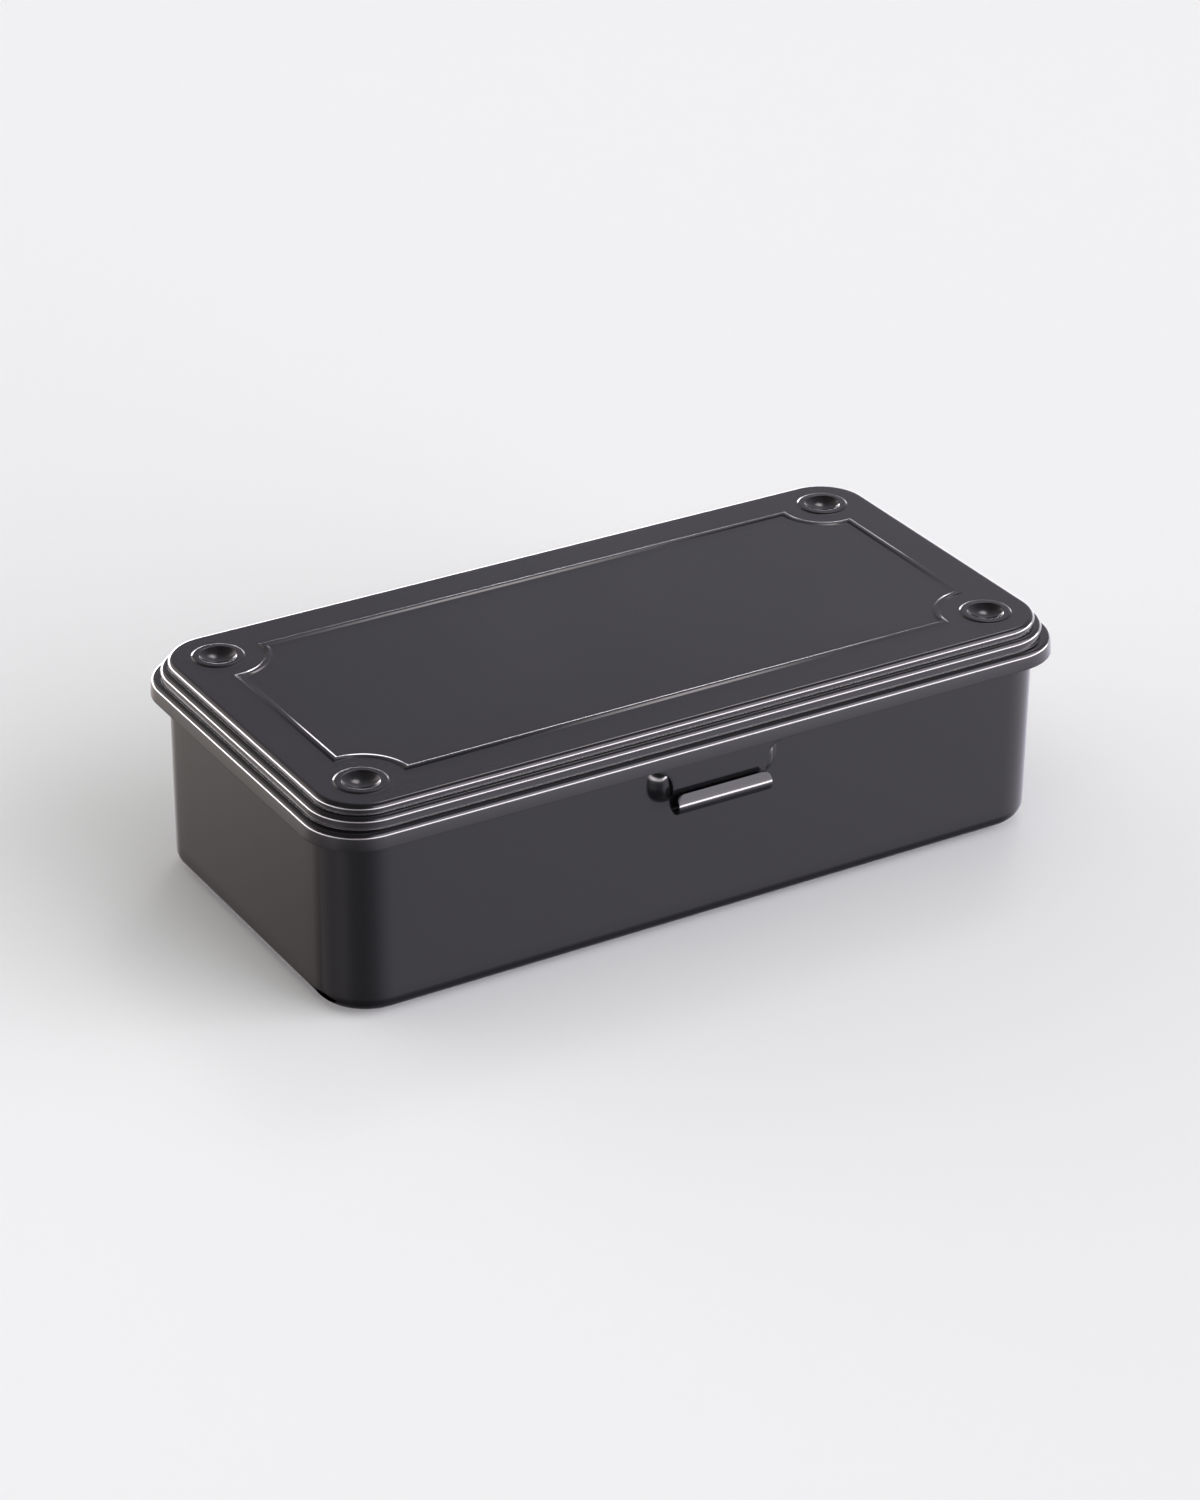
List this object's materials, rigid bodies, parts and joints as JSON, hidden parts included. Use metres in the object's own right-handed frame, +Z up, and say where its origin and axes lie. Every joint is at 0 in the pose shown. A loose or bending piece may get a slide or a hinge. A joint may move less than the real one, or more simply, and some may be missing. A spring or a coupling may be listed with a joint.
{
  "type": "lunch box",
  "caption": "Low rectangular pressed-steel lunch box with rounded corners, a flat stepped lid hinged at the back, stacking dimples and a springy latch tongue at the front.",
  "frame": {"origin": "middle of the overall box in X and Y, on the surface that the four feet stand on", "axes": "+Z up, +X along the length to the right as seen from the latch side, -Y towards the latch, hinges on the +Y side"},
  "size_m": [0.203, 0.109, 0.056],
  "materials": {
    "enamelled_sheet": "satin black baked enamel on steel sheet",
    "pin_steel": "plain drawn wire"
  },
  "bodies": {
    "tray": {"box_body": "enamelled_sheet", "hinge_leaf_left": "enamelled_sheet", "hinge_leaf_right": "enamelled_sheet", "hinge_pin_left": "pin_steel", "hinge_pin_right": "pin_steel"},
    "lid": {"lid_shell": "enamelled_sheet"},
    "latch": {"latch_tongue": "enamelled_sheet"}
  },
  "joints": [
    {"name": "lid_hinge", "type": "hinge", "parent": "tray", "child": "lid", "pos_m": [0, 0.0527, 0.0443], "axis": [-1, 0, 0], "range_deg": [0, 105]},
    {"name": "latch_flex", "type": "hinge", "parent": "lid", "child": "latch", "pos_m": [0, -0.0515, 0.04575], "axis": [-1, 0, 0], "range_deg": [0, 8], "stiffness_Nm_per_rad": 4}
  ]
}
